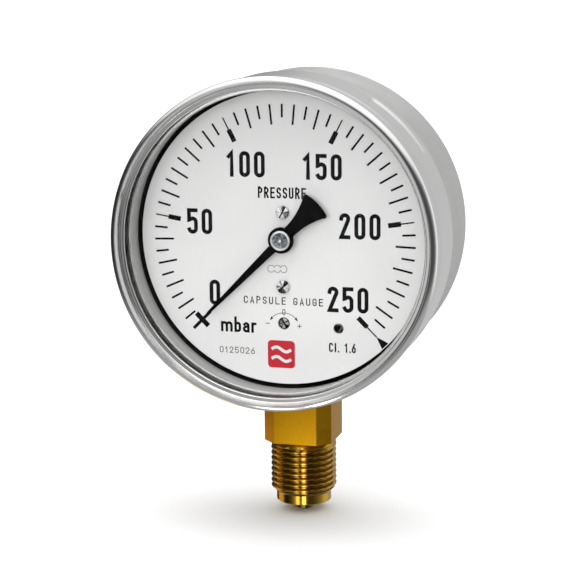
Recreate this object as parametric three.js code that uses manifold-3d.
// Capsule pressure gauge, nominal size 100 mm, with a bottom connection and a 22 mm spanner block.
//
// Frame, in millimetres: the origin is on the stem's axis at the connection's sealing face, +Z is up
// and the dial faces -Y. Everything in the round head is drawn about the pointer's axis: x to the
// right, y from the dial's printed face backwards, z up. headGroup puts that frame in its place.
import * as THREE from "three";
import { mergeVertices } from "three/addons/utils/BufferGeometryUtils.js";
import Module from "manifold-3d";

const wasm = await Module();
wasm.setup();

// ---------------------------------------------------------------- driving dimensions

const GAP = 0.3; // left between pieces that touch or are pressed together
const STEM_DEPTH = 22.1; // stem axis behind the dial's face
const AXIS_HEIGHT = 88.4; // pointer axis above the sealing face

const RING_SEGMENTS = 48;
const ROUND_SEGMENTS = 20;
const SMALL_SEGMENTS = 10;

const BEZEL = { radius: 50.5, wall: 0.9, front: -15.6, rear: 10.5, lip: 47.0, lipBack: -12.2 };
const GROOVE = { count: 4, width: 28, depth: 1.5, front: 1.1, rear: 6.0, skin: 0.7 };
const CASE = { radius: 49.3, wall: 1.2, back: 40, corner: 2.5, neck: 47.7, neckFront: -7.4, step: 7.4 };
const LUG = { width: 32, radius: 49.3, front: -3.0, rear: 0.0 };
const WINDOW = { radius: 48.9, front: -11.9, thickness: 2.0 };
const SUPPORT_RING = { inner: 45.7, outer: 48.8, thickness: 1.1 };
const GASKET = { inner: 46.7, outer: 48.8, back: CASE.neckFront - GAP, thickness: 0.5 };
const DIAL = { radius: 45.15, thickness: 0.8 };

const DIAL_SCREW_Z = { upper: 8.2, lower: -14.7 };
const ZERO_SCREW = { z: -26.2, radius: 1.55 };

const FRONT_PLATE = { front: 6.0, back: 7.4 };
const BACK_PLATE = { front: 14.6, back: 16.0 };
const PILLAR = { radius: 2.0, upperX: 17, upperZ: -3, lowerX: 16.2, lowerZ: -27.7 };

// The sector gear drives the pinion on the pointer's arbor, eight turns to one.
const MODULE = 0.4;
const PINION_TEETH = 12;
const SECTOR_TEETH = 96; // of a full wheel
const TOOTH_PLAY = 0.12; // taken off each tooth's thickness
const SECTOR_SWEEP = 34.4; // degrees, from no pressure to full scale and a little over
const SECTOR_Z = (-MODULE * (PINION_TEETH + SECTOR_TEETH)) / 2;
const SECTOR = { front: 9.6, back: 10.8, hub: 3.0, spareTeeth: 3 };
const HAIRSPRING = { turns: 3, inner: 2.3, outer: 5.4, strip: 0.22, studRadius: 6.75, startAngle: -20 };
const TAIL = { reach: 4.1, pinRadius: 0.6 };

// The link hangs from the rocker's drive arm and turns the sector by its tail.
const LINK = { front: 11.5, back: 12.3, holeTop: 1.2, holeBottom: 0.9 };
const ROCKER = { y: 19, z: -5, shaft: 0.7, collar: 1.9, driveX: -4.0, driveReach: 7.8, pushReach: 5.2 };

const CAPSULE = { radius: 27, z: -1, rim: 26.4, skin: 0.4, dome: 2.2, bossTip: 20.6 };
const CARRIER = { front: 31.5, back: 33.0 };
const TUBE = { radius: 1.0, lugY: 35.6, stemY: 36.8 };

const BLOCK = { width: 22, chamfer: 3.96, bottom: 20.6, flatTop: 36, neckInset: 0.3, top: 42.4 };
const COLUMN = { front: 16.3, rear: 31.2, top: -30 };
const LUG_BLOCK = { rear: 38.5, top: -38 };
const THREAD = { major: 10.48, minor: 9.32, pitch: 1.814, turns: 8, end: 8.75, endLength: 3.0 };
const SOCKET_GASKET = { width: 1.2, inner: 47.9, outer: 49.2 };
const SPIGOT = { radius: 3.0, length: 2.9, bore: 1.75 };
const PLUG = { z: 24, hole: 10, flange: 12 };
const CASE_SCREW = { x: 7, z: -42, hole: 2.0 };
const PLATE_SCREW = { x: 7, frontZ: -34, rearZ: -33.5 };

const rad = THREE.MathUtils.degToRad;
const tailHalf = SECTOR_SWEEP / 2;
const tailRise = TAIL.reach * Math.sin(rad(tailHalf));
const linkPlane = (LINK.front + LINK.back) / 2;
const rockerHalf = Math.atan(tailRise / (ROCKER.y - linkPlane)); // rest tilt, radians

// ---------------------------------------------------------------- solids and booleans

function solid(geometry) {
  const bare = geometry.clone();
  bare.deleteAttribute("normal");
  bare.deleteAttribute("uv");
  const merged = mergeVertices(bare, 1e-4);
  const mesh = new wasm.Mesh({
    numProp: 3,
    vertProperties: merged.attributes.position.array,
    triVerts: new Uint32Array(merged.index.array),
  });
  return new wasm.Manifold(mesh);
}

function geometryOf(manifold) {
  const mesh = manifold.getMesh();
  const geometry = new THREE.BufferGeometry();
  geometry.setAttribute("position", new THREE.BufferAttribute(mesh.vertProperties, 3));
  geometry.setIndex(new THREE.BufferAttribute(mesh.triVerts, 1));
  geometry.computeVertexNormals();
  return geometry;
}

function join(...geometries) {
  return geometryOf(geometries.map(solid).reduce((a, b) => a.add(b)));
}

function cut(geometry, ...tools) {
  return geometryOf(tools.map(solid).reduce((a, b) => a.subtract(b), solid(geometry)));
}

// ---------------------------------------------------------------- shapes

// A profile of [radius, y] points turned about the y axis, in either order.
function turned(profile, segments = ROUND_SEGMENTS) {
  const points = profile.map(([r, y]) => new THREE.Vector2(r, y));
  if (THREE.ShapeUtils.area(points) < 0) points.reverse();
  points.push(points[0].clone());
  return new THREE.LatheGeometry(points, segments);
}

// A cylinder along y at (x, z).
function rod(radius, y0, y1, x = 0, z = 0, segments = SMALL_SEGMENTS) {
  return new THREE.CylinderGeometry(radius, radius, y1 - y0, segments).translate(x, (y0 + y1) / 2, z);
}

// A cylinder along x at (y, z).
function crossRod(radius, x0, x1, y, z, segments = SMALL_SEGMENTS) {
  const rodAlongX = new THREE.CylinderGeometry(radius, radius, x1 - x0, segments).rotateZ(Math.PI / 2);
  return rodAlongX.translate((x0 + x1) / 2, y, z);
}

// A cylinder along z at (x, y).
function upright(radius, z0, z1, x = 0, y = 0, segments = SMALL_SEGMENTS) {
  const standing = new THREE.CylinderGeometry(radius, radius, z1 - z0, segments).rotateX(Math.PI / 2);
  return standing.translate(x, y, (z0 + z1) / 2);
}

function block([x0, x1], [y0, y1], [z0, z1]) {
  const box = new THREE.BoxGeometry(x1 - x0, y1 - y0, z1 - z0);
  return box.translate((x0 + x1) / 2, (y0 + y1) / 2, (z0 + z1) / 2);
}

// A flat piece drawn in x and z, from y0 back to y1.
function plate(shape, y0, y1, curveSegments = 8) {
  const flat = new THREE.ExtrudeGeometry(shape, { depth: y1 - y0, bevelEnabled: false, curveSegments });
  return flat.rotateX(Math.PI / 2).translate(0, y1, 0);
}

function outline(points) {
  return new THREE.Shape(points.map(([x, z]) => new THREE.Vector2(x, z)));
}

// Part of a flat ring, in degrees about the pointer's axis.
function ringSector(inner, outer, centre, width) {
  const start = rad(centre - width / 2);
  const end = rad(centre + width / 2);
  const shape = new THREE.Shape();
  shape.absarc(0, 0, outer, start, end, false);
  shape.absarc(0, 0, inner, end, start, true);
  return shape;
}

// A pin with a head in front of y = 0 and a shank behind it, moved to its place. The head is slotted.
function slottedScrew(head, shank, x, y, z, slotAngle = 0) {
  const profile = [
    [0, -head.height],
    [head.radius, -head.height],
    [head.radius, 0],
    [shank.radius, 0],
    [shank.radius, shank.length],
    [0, shank.length],
  ];
  const slotDepth = head.height * 0.5;
  const slot = block(
    [-2 * head.radius, 2 * head.radius],
    [-2 * head.height, slotDepth - head.height],
    [-head.radius * 0.14, head.radius * 0.14],
  ).rotateY(rad(slotAngle));
  return cut(turned(profile, SMALL_SEGMENTS), slot).translate(x, y, z);
}

// The same screw driven in from behind.
function rearScrew(head, shank, x, y, z, slotAngle = 0) {
  return slottedScrew(head, shank, 0, 0, 0, slotAngle).rotateX(Math.PI).translate(x, y, z);
}

// ---------------------------------------------------------------- case, bezel ring and window

function caseShell() {
  const inner = CASE.radius - CASE.wall;
  const neckInner = CASE.neck - CASE.wall;
  const bend = CASE.back - CASE.corner;
  const seat = CASE.radius - CASE.corner;
  const arc = (radius) =>
    [0, 30, 60, 90].map((a) => [seat + radius * Math.cos(rad(a)), bend + radius * Math.sin(rad(a))]);
  const shell = turned(
    [
      [0, CASE.back],
      ...arc(CASE.corner).reverse(),
      [CASE.radius, CASE.step + 1.4],
      [CASE.neck, CASE.step],
      [CASE.neck, CASE.neckFront],
      [neckInner, CASE.neckFront],
      [neckInner, CASE.step + 0.6],
      [inner, CASE.step + 2.0],
      ...arc(CASE.corner - CASE.wall),
      [0, CASE.back - CASE.wall],
    ],
    RING_SEGMENTS,
  );
  const lugs = fourTimes((angle) =>
    plate(ringSector(CASE.neck - CASE.wall / 2, LUG.radius, angle, LUG.width), LUG.front, LUG.rear),
  );
  const socketHole = socketOutline(SOCKET_GASKET.width + 2 * GAP);
  return cut(
    join(shell, ...lugs),
    placeSocketCut(socketHole),
    rod(PLUG.hole, CASE.back - 3, CASE.back + 1, 0, PLUG.z, ROUND_SEGMENTS),
    rod(CASE_SCREW.hole, CASE.back - 3, CASE.back + 1, CASE_SCREW.x, CASE_SCREW.z),
    rod(CASE_SCREW.hole, CASE.back - 3, CASE.back + 1, -CASE_SCREW.x, CASE_SCREW.z),
  );
}

// Once in the middle of each quarter turn, where the ring's grooves and the case's lugs meet.
function fourTimes(make) {
  return Array.from({ length: GROOVE.count }, (_, i) => make((360 / GROOVE.count) * (i + 0.5)));
}

function placeSocketCut(shape) {
  return standing(shape, -CASE.radius - 6, -CASE.radius + 6).translate(0, STEM_DEPTH, 0);
}

function bezelRing() {
  const inner = BEZEL.radius - BEZEL.wall;
  const ring = turned(
    [
      [BEZEL.radius, BEZEL.rear],
      [BEZEL.radius, BEZEL.front + 2.4],
      [BEZEL.radius - 0.35, BEZEL.front + 1.2],
      [BEZEL.radius - 1.2, BEZEL.front + 0.35],
      [BEZEL.radius - 2.2, BEZEL.front],
      [BEZEL.lip + 0.5, BEZEL.front + 0.4],
      [BEZEL.lip + 0.1, BEZEL.front + 1.6],
      [BEZEL.lip, BEZEL.lipBack],
      [BEZEL.lip + 0.9, BEZEL.lipBack],
      [BEZEL.lip + 1.0, BEZEL.front + 2.0],
      [BEZEL.lip + 1.6, BEZEL.front + 1.1],
      [inner - 0.4, BEZEL.front + 1.6],
      [inner, BEZEL.front + 2.8],
      [inner, BEZEL.rear],
    ],
    RING_SEGMENTS,
  );
  const floor = BEZEL.radius - GROOVE.depth;
  const pressed = fourTimes((angle) =>
    plate(
      ringSector(floor - GROOVE.skin, BEZEL.radius - 0.2, angle, GROOVE.width + 1.6),
      GROOVE.front - GROOVE.skin,
      GROOVE.rear + GROOVE.skin,
    ),
  );
  const grooves = fourTimes((angle) =>
    plate(ringSector(floor, BEZEL.radius + 1, angle, GROOVE.width), GROOVE.front, GROOVE.rear),
  );
  return cut(join(ring, ...pressed), ...grooves);
}

function windowPane() {
  const back = WINDOW.front + WINDOW.thickness;
  return rod(WINDOW.radius, WINDOW.front, back, 0, 0, RING_SEGMENTS);
}

function flatRing(inner, outer, front, back) {
  return turned(
    [
      [inner, front],
      [outer, front],
      [outer, back],
      [inner, back],
    ],
    RING_SEGMENTS,
  );
}

function windowSupportRing() {
  const front = WINDOW.front + WINDOW.thickness + GAP;
  return flatRing(SUPPORT_RING.inner, SUPPORT_RING.outer, front, front + SUPPORT_RING.thickness);
}

function windowGasket() {
  return flatRing(GASKET.inner, GASKET.outer, GASKET.back - GASKET.thickness, GASKET.back);
}

function blowoutPlug() {
  const neck = PLUG.hole - GAP;
  const wallInside = CASE.back - CASE.wall;
  return turned(
    [
      [0, CASE.back + 1.8],
      [PLUG.flange - 1, CASE.back + 1.8],
      [PLUG.flange, CASE.back + 0.9],
      [PLUG.flange, CASE.back + GAP],
      [neck, CASE.back + GAP],
      [neck, wallInside - GAP],
      [neck + 0.9, wallInside - GAP],
      [neck, wallInside - 1.4],
      [0, wallInside - 1.4],
    ],
    ROUND_SEGMENTS,
  ).translate(0, 0, PLUG.z);
}

// ---------------------------------------------------------------- dial, pointer and hairspring

function dial() {
  const disc = rod(DIAL.radius, 0, DIAL.thickness, 0, 0, RING_SEGMENTS);
  return cut(
    disc,
    rod(2.5, -1, 2, 0, 0, ROUND_SEGMENTS),
    rod(1.2, -1, 2, 0, DIAL_SCREW_Z.upper),
    rod(1.2, -1, 2, 0, DIAL_SCREW_Z.lower),
    rod(ZERO_SCREW.radius + 0.35, -1, 2, 0, ZERO_SCREW.z, ROUND_SEGMENTS),
    rod(2.2, -1, 2, PILLAR.lowerX + 1, PILLAR.lowerZ + 0.7, ROUND_SEGMENTS),
  );
}

function dialScrew(z, slotAngle) {
  return slottedScrew({ radius: 2, height: 0.8 }, { radius: 0.8, length: 3.4 }, 0, -GAP, z, slotAngle);
}

// A spacer between the front plate and the dial, tapped for the dial screw.
function dialPost(z) {
  const front = DIAL.thickness + GAP;
  const back = FRONT_PLATE.front - GAP;
  const tenonEnd = FRONT_PLATE.back - GAP;
  return turned([
    [1.1, front],
    [2.0, front],
    [2.0, back],
    [0.9, back],
    [0.9, tenonEnd],
    [0, tenonEnd],
    [0, front + 3.2],
    [1.1, front + 3.2],
  ], SMALL_SEGMENTS).translate(0, 0, z);
}

// The needle points to the scale's zero at the lower left, and its fan-shaped tail balances it.
function pointer() {
  const shape = new THREE.Shape();
  const tip = 34;
  const hub = 3.7;
  shape.moveTo(tip, -0.25);
  shape.lineTo(tip, 0.25);
  shape.lineTo(3.5, 1.15);
  shape.absarc(0, 0, hub, rad(20), rad(155), false);
  shape.quadraticCurveTo(-9.5, 1.3, -15.6, 4.6);
  shape.absarc(0, 0, 16.4, rad(164.5), rad(195.5), false);
  shape.quadraticCurveTo(-9.5, -1.3, hub * Math.cos(rad(205)), hub * Math.sin(rad(205)));
  shape.absarc(0, 0, hub, rad(205), rad(340), false);
  shape.lineTo(3.5, -1.15);
  const hole = new THREE.Path();
  hole.absarc(0, 0, 1.6, 0, 2 * Math.PI, true);
  shape.holes.push(hole);
  return plate(shape, -2.9, -2.4, 6).rotateY(rad(-225));
}

// The cap and the bush that carries the pointer on its arbor.
function pointerHub() {
  return turned([
    [0, -3.9],
    [2.3, -3.85],
    [2.8, -3.6],
    [2.8, -3.2],
    [1.3, -3.2],
    [1.3, -0.9],
    [1.1, -0.9],
    [1.1, -2.6],
    [0, -2.6],
  ]);
}

// Half of one tooth's angle at a radius, from the involute of its pitch circle.
function toothHalfAngle(teeth, radius) {
  const pitch = (MODULE * teeth) / 2;
  const base = pitch * Math.cos(rad(20));
  const involute = (angle) => Math.tan(angle) - angle;
  const here = Math.acos(Math.min(1, base / Math.max(radius, base)));
  return Math.PI / (2 * teeth) - TOOTH_PLAY / (2 * pitch) + involute(rad(20)) - involute(here);
}

// The points round one tooth, whose middle lies at the given angle.
function toothPoints(teeth, middle) {
  const pitch = (MODULE * teeth) / 2;
  const radii = [pitch - 1.2 * MODULE, pitch, pitch + 0.8 * MODULE];
  const point = (radius, side) => {
    const angle = middle + side * toothHalfAngle(teeth, radius);
    return [radius * Math.cos(angle), radius * Math.sin(angle)];
  };
  return [...radii.map((r) => point(r, -1)), ...radii.toReversed().map((r) => point(r, 1))];
}

// The pinion is cut on its arbor, with a tooth space facing the sector.
function pinionArbor() {
  const pitchAngle = (2 * Math.PI) / PINION_TEETH;
  const firstTooth = -Math.PI / 2 + pitchAngle / 2;
  const teeth = Array.from({ length: PINION_TEETH }, (_, i) =>
    toothPoints(PINION_TEETH, firstTooth + i * pitchAngle),
  );
  const wheel = plate(outline(teeth.flat()), 9.2, 11.2);
  return join(wheel, rod(0.8, -2.3, BACK_PLATE.back - GAP));
}

// A flat spiral of three turns in front of the front plate.
function hairspring() {
  const { turns, inner, outer, strip, startAngle } = HAIRSPRING;
  const steps = turns * 16;
  const edge = (offset) =>
    Array.from({ length: steps + 1 }, (_, i) => {
      const angle = (i / steps) * turns * 2 * Math.PI + rad(startAngle);
      const radius = inner + ((outer - inner) * i) / steps + offset;
      return [radius * Math.cos(angle), radius * Math.sin(angle)];
    });
  return plate(outline([...edge(0), ...edge(strip).reverse()]), 3.0, 3.7);
}

function hairspringCollet() {
  return turned([
    [1.1, 2.7],
    [1.95, 2.7],
    [1.95, 4.0],
    [1.1, 4.0],
  ], SMALL_SEGMENTS);
}

// Where the hairspring's outer end is pinned, from the pointer's axis.
function studPlace() {
  const angle = rad(HAIRSPRING.startAngle);
  return [HAIRSPRING.studRadius * Math.cos(angle), HAIRSPRING.studRadius * Math.sin(angle)];
}

function hairspringStud() {
  const [x, z] = studPlace();
  const post = rod(0.75, 2.6, FRONT_PLATE.front - GAP, x, z);
  const tenon = rod(0.5, FRONT_PLATE.front - 1, FRONT_PLATE.back - GAP, x, z);
  return join(post, tenon);
}

// ---------------------------------------------------------------- movement frame

function frontPlate() {
  const shape = outline([
    [-19.5, -31],
    [19.5, -31],
    [20, -1],
    [15, 1.5],
    [4.5, 12],
    [-4.5, 12],
    [-15, 1.5],
    [-20, -1],
  ]);
  const through = (radius, x, z) => rod(radius, FRONT_PLATE.front - 1, FRONT_PLATE.back + 1, x, z);
  return cut(
    plate(shape, FRONT_PLATE.front, FRONT_PLATE.back),
    through(1.1, 0, 0),
    through(1.2, 0, SECTOR_Z),
    through(1.2, 0, DIAL_SCREW_Z.upper),
    through(1.2, 0, DIAL_SCREW_Z.lower),
    through(1.4, 0, ZERO_SCREW.z),
    through(0.8, ...studPlace()),
    ...pillarPlaces().map(({ x, z }) => through(1.0, x, z)),
  );
}

function backPlate() {
  const shape = outline([
    [-19.5, -31],
    [-11, -31],
    [-11, -37],
    [11, -37],
    [11, -31],
    [19.5, -31],
    [20, -1],
    [10, 6],
    [-10, 6],
    [-20, -1],
  ]);
  const through = (radius, x, z) => rod(radius, BACK_PLATE.front - 1, BACK_PLATE.back + 1, x, z);
  const armSlot = block([-6, -2], [BACK_PLATE.front - 1, BACK_PLATE.back + 1], [-8, -2]);
  return cut(
    plate(shape, BACK_PLATE.front, BACK_PLATE.back),
    armSlot,
    through(1.1, 0, 0),
    through(1.2, 0, SECTOR_Z),
    through(1.2, PLATE_SCREW.x, PLATE_SCREW.frontZ),
    through(1.2, -PLATE_SCREW.x, PLATE_SCREW.frontZ),
    ...pillarPlaces().map(({ x, z }) => through(1.2, x, z)),
  );
}

function pillarPlaces() {
  return [
    { name: "upper_left", x: -PILLAR.upperX, z: PILLAR.upperZ },
    { name: "upper_right", x: PILLAR.upperX, z: PILLAR.upperZ },
    { name: "lower_left", x: -PILLAR.lowerX, z: PILLAR.lowerZ },
    { name: "lower_right", x: PILLAR.lowerX, z: PILLAR.lowerZ },
  ];
}

// Riveted to the back plate by its tenon, and tapped in front for its screw.
function pillar({ x, z }) {
  const front = FRONT_PLATE.back + GAP;
  return turned([
    [1.0, front],
    [PILLAR.radius, front],
    [PILLAR.radius, BACK_PLATE.front - GAP],
    [0.9, BACK_PLATE.front - GAP],
    [0.9, BACK_PLATE.back - GAP],
    [0, BACK_PLATE.back - GAP],
    [0, front + 3.6],
    [1.0, front + 3.6],
  ], SMALL_SEGMENTS).translate(x, 0, z);
}

function pillarScrew({ x, z }) {
  const head = { radius: 1.6, height: 0.9 };
  return slottedScrew(head, { radius: 0.7, length: 4.6 }, x, FRONT_PLATE.front - GAP, z, 40);
}

// Turns an eccentric end behind the front plate, which shifts the resting point.
function zeroAdjustScrew() {
  const head = { radius: ZERO_SCREW.radius, height: 1.6 };
  const screw = slottedScrew(head, { radius: 1.0, length: 6.6 }, 0, 1.8, ZERO_SCREW.z, 65);
  return join(screw, rod(0.45, 8.2, 9.6, 0, ZERO_SCREW.z - 0.45));
}

// ---------------------------------------------------------------- sector, link and rocker

// At rest a tooth points straight up into the pinion. Pressure turns the sector to the left.
function sectorGear() {
  const pitchAngle = (2 * Math.PI) / SECTOR_TEETH;
  const used = Math.ceil(SECTOR_SWEEP / THREE.MathUtils.radToDeg(pitchAngle));
  const first = -(used + SECTOR.spareTeeth);
  const count = used + 2 * SECTOR.spareTeeth + 1;
  const teeth = Array.from({ length: count }, (_, i) =>
    toothPoints(SECTOR_TEETH, Math.PI / 2 + (first + i) * pitchAngle),
  );
  const rimInside = (MODULE * SECTOR_TEETH) / 2 - 3;
  const angle = (i) => Math.PI / 2 + (first + i) * pitchAngle;
  const inner = [angle(count - 1), angle(0)].map((a) => [rimInside * Math.cos(a), rimInside * Math.sin(a)]);
  const middle = (angle(0) + angle(count - 1)) / 2;
  const waist = [1.3, -1.3].map((side) => [
    5 * Math.cos(middle) - side * 1.6 * Math.sin(middle),
    5 * Math.sin(middle) + side * 1.6 * Math.cos(middle),
  ]);
  const body = outline([...teeth.flat(), inner[0], waist[0], [0, 0], waist[1], inner[1]]);
  const tail = sectorTail();
  const web = plate(body, SECTOR.front, SECTOR.back);
  const hub = rod(SECTOR.hub, SECTOR.front - 0.5, SECTOR.back + 0.3, 0, 0, ROUND_SEGMENTS);
  const arm = block([-tail.reach, 0], [SECTOR.front, SECTOR.back], [-1.3, 1.3]);
  const end = rod(1.5, SECTOR.front, SECTOR.back, -tail.reach, 0);
  const lever = join(arm, end).rotateY(rad(tail.angle));
  const bore = rod(1.2, SECTOR.front - 2, SECTOR.back + 2);
  const pinHole = rod(TAIL.pinRadius + GAP, SECTOR.front - 2, SECTOR.back + 2, tail.x, tail.z);
  return cut(join(web, hub, lever), bore, pinHole).translate(0, 0, SECTOR_Z);
}

// The tail's pin, from the sector's own axis: left of it, and above the level at rest.
function sectorTail() {
  return {
    reach: TAIL.reach,
    angle: tailHalf,
    x: -TAIL.reach * Math.cos(rad(tailHalf)),
    z: tailRise,
  };
}

function sectorArbor() {
  return rod(0.9, FRONT_PLATE.front + GAP, BACK_PLATE.back - GAP, 0, SECTOR_Z, SMALL_SEGMENTS);
}

function linkPin() {
  const tail = sectorTail();
  return rod(TAIL.pinRadius, SECTOR.front - 0.3, LINK.back + 0.6, tail.x, SECTOR_Z + tail.z);
}

function link() {
  const x = sectorTail().x;
  const bottom = SECTOR_Z + tailRise;
  const top = ROCKER.z + tailRise;
  const strip = block([x - 1, x + 1], [LINK.front, LINK.back], [bottom, top]);
  const lowerEye = rod(1.7, LINK.front, LINK.back, x, bottom, ROUND_SEGMENTS);
  const upperEye = rod(2.1, LINK.front, LINK.back, x, top, ROUND_SEGMENTS);
  return cut(
    join(strip, lowerEye, upperEye),
    rod(LINK.holeBottom, LINK.front - 1, LINK.back + 1, x, bottom, SMALL_SEGMENTS),
    rod(LINK.holeTop, LINK.front - 1, LINK.back + 1, x, top, ROUND_SEGMENTS),
  );
}

function rockerShaft() {
  return crossRod(ROCKER.shaft, -9.9, 6.4, ROCKER.y, ROCKER.z);
}

// A collar on the shaft and a round finger forwards, through the back plate and the link's eye.
function rockerDriveArm() {
  const collar = crossRod(ROCKER.collar, -1.2, 1.2, 0, 0, ROUND_SEGMENTS);
  const finger = rod(0.6, -ROCKER.driveReach, -1.4);
  const bore = crossRod(ROCKER.shaft + GAP, -2, 2, 0, 0);
  const arm = cut(join(collar, finger), bore);
  return arm.rotateX(-rockerHalf).translate(ROCKER.driveX, ROCKER.y, ROCKER.z);
}

// A collar and a flat blade upwards, which the capsule's boss pushes forwards.
function rockerPushArm() {
  const collar = crossRod(ROCKER.collar, -1.2, 1.2, 0, 0, ROUND_SEGMENTS);
  const blade = block([-1.2, 1.2], [-0.5, 0.5], [1.2, ROCKER.pushReach]);
  const bore = crossRod(ROCKER.shaft + GAP, -2, 2, 0, 0);
  return cut(join(collar, blade), bore).rotateX(-rockerHalf).translate(0, ROCKER.y, ROCKER.z);
}

// An angle with a foot on the back plate and an eye for the rocker's shaft.
function bearingEar(x0, x1, footX0, footX1) {
  const seat = BACK_PLATE.back + GAP;
  const eye = block([x0, x1], [seat, ROCKER.y + 2], [ROCKER.z - 2.6, ROCKER.z + 2.6]);
  const foot = block([footX0, footX1], [seat, seat + 1], [ROCKER.z - 2.6, ROCKER.z + 2.6]);
  return cut(join(eye, foot), crossRod(ROCKER.shaft + GAP, x0 - 1, x1 + 1, ROCKER.y, ROCKER.z));
}

// ---------------------------------------------------------------- pressure capsule

// Depth of a corrugated diaphragm from its rim, at a radius.
function corrugation(radius) {
  const { radius: rim, dome } = CAPSULE;
  const flat = rim - 2;
  if (radius >= flat) return 0;
  const rise = Math.min(1, (flat - radius) / 3);
  const wave = radius > 4 ? 0.4 * Math.cos((radius - 4) * 1.05) : 0.4;
  return rise * (dome + wave);
}

// One of the capsule's two shells. side is -1 for the front one and 1 for the rear one.
function diaphragm(side, hole) {
  const steps = 9;
  const radii = Array.from({ length: steps + 1 }, (_, i) => hole + ((CAPSULE.radius - hole) * i) / steps);
  const weld = CAPSULE.rim + CAPSULE.skin + GAP / 2;
  const inside = radii.map((r) => [r, weld + side * (GAP / 2 + corrugation(r))]);
  const outside = radii.map((r) => [r, weld + side * (GAP / 2 + CAPSULE.skin + corrugation(r))]);
  return turned([...inside, ...outside.reverse()], 24).translate(0, 0, CAPSULE.z);
}

// Soldered to the middle of the front diaphragm, it pushes the rocker.
function capsuleBoss() {
  const tip = CAPSULE.bossTip;
  const foot = CAPSULE.rim - CAPSULE.dome - 0.4 - GAP;
  return turned([
    [0, tip],
    [0.5, tip],
    [1.8, tip + 0.9],
    [1.8, foot],
    [0, foot],
  ]).translate(0, 0, CAPSULE.z);
}

// The hollow stud behind the capsule, clamped in the carrier. The tube enters it from below.
function capsuleStem() {
  const start = CAPSULE.rim + 2 * CAPSULE.skin + GAP + CAPSULE.dome + 0.4 + GAP;
  const stud = turned([
    [0, start],
    [4.5, start],
    [4.5, CARRIER.front - GAP],
    [3.0, CARRIER.front - GAP],
    [3.0, CASE.back - CASE.wall - 0.6],
    [0, CASE.back - CASE.wall - 0.6],
  ]);
  const bore = rod(0.8, start - 1, TUBE.stemY + 0.2);
  const inlet = upright(0.8, -4, 0.2, 0, TUBE.stemY);
  return cut(stud, bore, inlet).translate(0, 0, CAPSULE.z);
}

function capsuleNut() {
  const hexagon = new THREE.CylinderGeometry(5.2, 5.2, 2, 6).translate(0, CARRIER.back + GAP + 1, 0);
  return cut(hexagon, rod(3.3, 30, 40)).translate(0, 0, CAPSULE.z);
}

function capsuleCarrier() {
  const shape = new THREE.Shape();
  shape.moveTo(-10.5, -37.4);
  shape.lineTo(10.5, -37.4);
  shape.lineTo(10.5, -30);
  shape.lineTo(7, -25);
  shape.lineTo(7, CAPSULE.z);
  shape.absarc(0, CAPSULE.z, 7, 0, Math.PI, false);
  shape.lineTo(-7, -25);
  shape.lineTo(-10.5, -30);
  const through = (radius, x, z) => rod(radius, CARRIER.front - 1, CARRIER.back + 1, x, z);
  return cut(
    plate(shape, CARRIER.front, CARRIER.back),
    through(3.3, 0, CAPSULE.z),
    through(1.2, PLATE_SCREW.x, PLATE_SCREW.rearZ),
    through(1.2, -PLATE_SCREW.x, PLATE_SCREW.rearZ),
  );
}

// From the socket's rear lug up to the capsule's stem, with a bow to one side.
function pressureTube() {
  const bottom = LUG_BLOCK.top + GAP;
  const top = CAPSULE.z - 3.0 - GAP;
  const route = new THREE.CatmullRomCurve3([
    new THREE.Vector3(0, TUBE.lugY, bottom),
    new THREE.Vector3(0.4, TUBE.lugY + 0.1, bottom + 4),
    new THREE.Vector3(4.6, TUBE.lugY + 0.5, bottom + 12),
    new THREE.Vector3(4.6, TUBE.lugY + 0.9, top - 12),
    new THREE.Vector3(0.4, TUBE.stemY, top - 4),
    new THREE.Vector3(0, TUBE.stemY, top),
  ]);
  const section = new THREE.Shape();
  section.absarc(0, 0, TUBE.radius, 0, 2 * Math.PI, false);
  const options = { steps: 18, bevelEnabled: false, extrudePath: route, curveSegments: 4 };
  return new THREE.ExtrudeGeometry(section, options);
}

// ---------------------------------------------------------------- socket

// The spanner block's section about the stem's axis: a square with its corners cut off.
function socketOutline(grow = 0) {
  const half = BLOCK.width / 2 + grow;
  const flat = half - BLOCK.chamfer;
  return outline([
    [flat, -half],
    [half, -flat],
    [half, flat],
    [flat, half],
    [-flat, half],
    [-half, flat],
    [-half, -flat],
    [-flat, -half],
  ]);
}

// A shape drawn in x and y, standing from z0 to z1.
function standing(shape, z0, z1) {
  return new THREE.ExtrudeGeometry(shape, { depth: z1 - z0, bevelEnabled: false }).translate(0, 0, z0);
}

// The stem's turned part, drawn as radius and height: spigot, plain end, thread and relief.
function stemProfile() {
  const { major, minor, pitch, turns, end, endLength } = THREAD;
  const start = endLength + (major - end);
  const crests = Array.from({ length: turns }, (_, i) => {
    const z = start + i * pitch;
    return [
      [major, z],
      [major, z + 0.2 * pitch],
      [minor, z + 0.6 * pitch],
    ];
  });
  return [
    [0, -SPIGOT.length],
    [SPIGOT.radius, -SPIGOT.length],
    [SPIGOT.radius, 0],
    [end, 0],
    [end, endLength],
    ...crests.flat(),
    [major, start + turns * pitch],
    [minor - 0.1, start + turns * pitch + 0.7],
    [minor - 0.1, BLOCK.bottom + 1],
    [0, BLOCK.bottom + 1],
  ];
}

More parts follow.
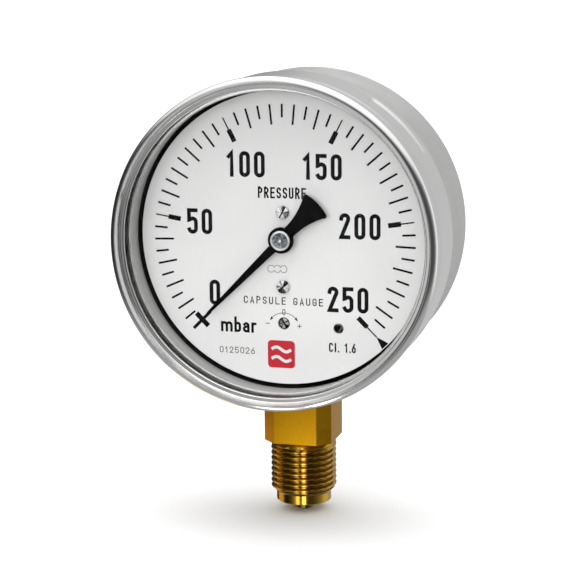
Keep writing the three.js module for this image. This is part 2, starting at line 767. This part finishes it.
// Brass body in one piece: stem, spanner block with a slightly smaller neck in the case's cut-out,
// column for the movement and lug for the case.
function socket() {
  const half = BLOCK.width / 2;
  const y = (headDepth) => headDepth - STEM_DEPTH;
  const z = (headHeight) => headHeight + AXIS_HEIGHT;
  const stem = turned(stemProfile(), 24).rotateX(Math.PI / 2);
  const spanner = standing(socketOutline(), BLOCK.bottom, BLOCK.flatTop);
  const neck = standing(socketOutline(-BLOCK.neckInset), BLOCK.flatTop - 1, BLOCK.top);
  const foot = BLOCK.top - 0.2;
  const column = block([-half, half], [y(COLUMN.front), y(COLUMN.rear)], [foot, z(COLUMN.top)]);
  const lug = block([-half, half], [0, y(LUG_BLOCK.rear)], [foot, z(LUG_BLOCK.top)]);
  const crossZ = z(CASE_SCREW.z);
  const screwHoles = [-1, 1].flatMap((side) => [
    rod(1.1, y(COLUMN.front) - 1, y(COLUMN.front) + 6, side * PLATE_SCREW.x, z(PLATE_SCREW.frontZ)),
    rod(1.1, y(COLUMN.rear) - 5.5, y(COLUMN.rear) + 1, side * PLATE_SCREW.x, z(PLATE_SCREW.rearZ)),
    rod(1.9, y(LUG_BLOCK.rear) - 6.5, y(LUG_BLOCK.rear) + 1, side * CASE_SCREW.x, crossZ),
  ]);
  return cut(
    join(stem, spanner, neck, column, lug),
    upright(SPIGOT.bore, -SPIGOT.length - 1, crossZ),
    rod(1.5, 0, y(LUG_BLOCK.rear) + 1, 0, crossZ),
    upright(1.4, crossZ, z(LUG_BLOCK.top) + 1, 0, y(TUBE.lugY)),
    ...screwHoles,
  );
}

// Round the block's neck, filling the case's cut-out.
function socketGasket() {
  const shape = socketOutline(SOCKET_GASKET.width + GAP);
  shape.holes.push(new THREE.Path(socketOutline(GAP - BLOCK.neckInset).getPoints()));
  const frame = standing(shape, -54, -45).translate(0, STEM_DEPTH, 0);
  const disc = (radius) => solid(rod(radius, 0, CASE.back, 0, 0, RING_SEGMENTS));
  const band = solid(frame).intersect(disc(SOCKET_GASKET.outer)).subtract(disc(SOCKET_GASKET.inner));
  return geometryOf(band);
}

// A throttle screw in the inlet that calms pressure surges.
function restrictor() {
  return turned([
    [0.4, 4],
    [SPIGOT.bore - GAP, 4],
    [SPIGOT.bore - GAP, 10],
    [0.4, 10],
  ], SMALL_SEGMENTS).rotateX(Math.PI / 2);
}

function borePlug() {
  const rear = LUG_BLOCK.rear - GAP;
  return rod(1.2, rear - 1.6, rear, 0, CASE_SCREW.z);
}

function caseScrew(side) {
  const head = { radius: 3.5, height: 2.3 };
  const shank = { radius: 1.6, length: 6.6 };
  return rearScrew(head, shank, side * CASE_SCREW.x, CASE.back + GAP, CASE_SCREW.z, 30 * side);
}

function carrierScrew(side) {
  const head = { radius: 2.0, height: 1.2 };
  const shank = { radius: 0.8, length: 6.2 };
  return rearScrew(head, shank, side * PLATE_SCREW.x, CARRIER.back + GAP, PLATE_SCREW.rearZ, 50 * side);
}

function movementScrew(side) {
  const head = { radius: 2.0, height: 1.2 };
  const shank = { radius: 0.8, length: 6.6 };
  const place = [side * PLATE_SCREW.x, BACK_PLATE.front - GAP, PLATE_SCREW.frontZ];
  return slottedScrew(head, shank, ...place, 20 * side);
}

// ---------------------------------------------------------------- materials

function metal(color, roughness) {
  return new THREE.MeshStandardMaterial({ color, roughness, metalness: 1 });
}

function plain(color, roughness) {
  return new THREE.MeshStandardMaterial({ color, roughness, metalness: 0 });
}

const stainless = metal(0xc9cacb, 0.32);
const polished = metal(0xd4d5d6, 0.18);
const steel = metal(0xb2b4b6, 0.35);
const brass = metal(0xc08a2e, 0.3);
const bronze = metal(0xb98a4a, 0.4);
const copper = metal(0xb46a45, 0.35);
const whiteEnamel = plain(0xe9e9e8, 0.5);
const blackEnamel = plain(0x101010, 0.5);
const blackRubber = plain(0x1c1c1c, 0.8);
const greyRubber = plain(0x9a9a98, 0.7);
const glass = plain(0xf2f6f6, 0.03);
glass.transparent = true;
glass.opacity = 0.3;

// ---------------------------------------------------------------- assembly

const gauge = new THREE.Group();
const headGroup = new THREE.Group();
headGroup.position.set(0, -STEM_DEPTH, AXIS_HEIGHT);
gauge.add(headGroup);

function add(group, name, geometry, material) {
  const mesh = new THREE.Mesh(geometry, material);
  mesh.name = name;
  group.add(mesh);
}

add(headGroup, "case", caseShell(), stainless);
add(headGroup, "bezel_ring", bezelRing(), polished);
add(headGroup, "window", windowPane(), glass);
add(headGroup, "window_support_ring", windowSupportRing(), stainless);
add(headGroup, "window_gasket", windowGasket(), greyRubber);
add(headGroup, "blowout_plug", blowoutPlug(), blackRubber);

add(headGroup, "dial", dial(), whiteEnamel);
add(headGroup, "dial_screw_upper", dialScrew(DIAL_SCREW_Z.upper, 50), steel);
add(headGroup, "dial_screw_lower", dialScrew(DIAL_SCREW_Z.lower, 35), steel);
add(headGroup, "dial_post_upper", dialPost(DIAL_SCREW_Z.upper), brass);
add(headGroup, "dial_post_lower", dialPost(DIAL_SCREW_Z.lower), brass);
add(headGroup, "zero_adjust_screw", zeroAdjustScrew(), steel);

add(headGroup, "pointer", pointer(), blackEnamel);
add(headGroup, "pointer_hub", pointerHub(), polished);
add(headGroup, "pinion_arbor", pinionArbor(), steel);
add(headGroup, "hairspring", hairspring(), bronze);
add(headGroup, "hairspring_collet", hairspringCollet(), brass);
add(headGroup, "hairspring_stud", hairspringStud(), brass);

add(headGroup, "front_plate", frontPlate(), brass);
add(headGroup, "back_plate", backPlate(), brass);
for (const place of pillarPlaces()) {
  add(headGroup, `pillar_${place.name}`, pillar(place), brass);
  add(headGroup, `pillar_screw_${place.name}`, pillarScrew(place), steel);
}

add(headGroup, "sector_gear", sectorGear(), brass);
add(headGroup, "sector_arbor", sectorArbor(), steel);
add(headGroup, "link_pin", linkPin(), steel);
add(headGroup, "link", link(), brass);
add(headGroup, "rocker_shaft", rockerShaft(), steel);
add(headGroup, "rocker_drive_arm", rockerDriveArm(), brass);
add(headGroup, "rocker_push_arm", rockerPushArm(), brass);
add(headGroup, "bearing_ear_left", bearingEar(-9.5, -8.1, -12, -8.1), brass);
add(headGroup, "bearing_ear_right", bearingEar(4.6, 6.0, 4.6, 8.5), brass);

add(headGroup, "capsule_front_diaphragm", diaphragm(-1, 0), bronze);
add(headGroup, "capsule_rear_diaphragm", diaphragm(1, 1.2), bronze);
add(headGroup, "capsule_boss", capsuleBoss(), brass);
add(headGroup, "capsule_stem", capsuleStem(), brass);
add(headGroup, "capsule_nut", capsuleNut(), brass);
add(headGroup, "capsule_carrier", capsuleCarrier(), steel);
add(headGroup, "pressure_tube", pressureTube(), copper);

add(gauge, "socket", socket(), brass);
add(headGroup, "socket_gasket", socketGasket(), blackRubber);
add(gauge, "restrictor", restrictor(), steel);
add(headGroup, "bore_plug", borePlug(), brass);
for (const [name, side] of Object.entries({ left: -1, right: 1 })) {
  add(headGroup, `case_screw_${name}`, caseScrew(side), steel);
  add(headGroup, `carrier_screw_${name}`, carrierScrew(side), steel);
  add(headGroup, `movement_screw_${name}`, movementScrew(side), steel);
}

export default gauge;
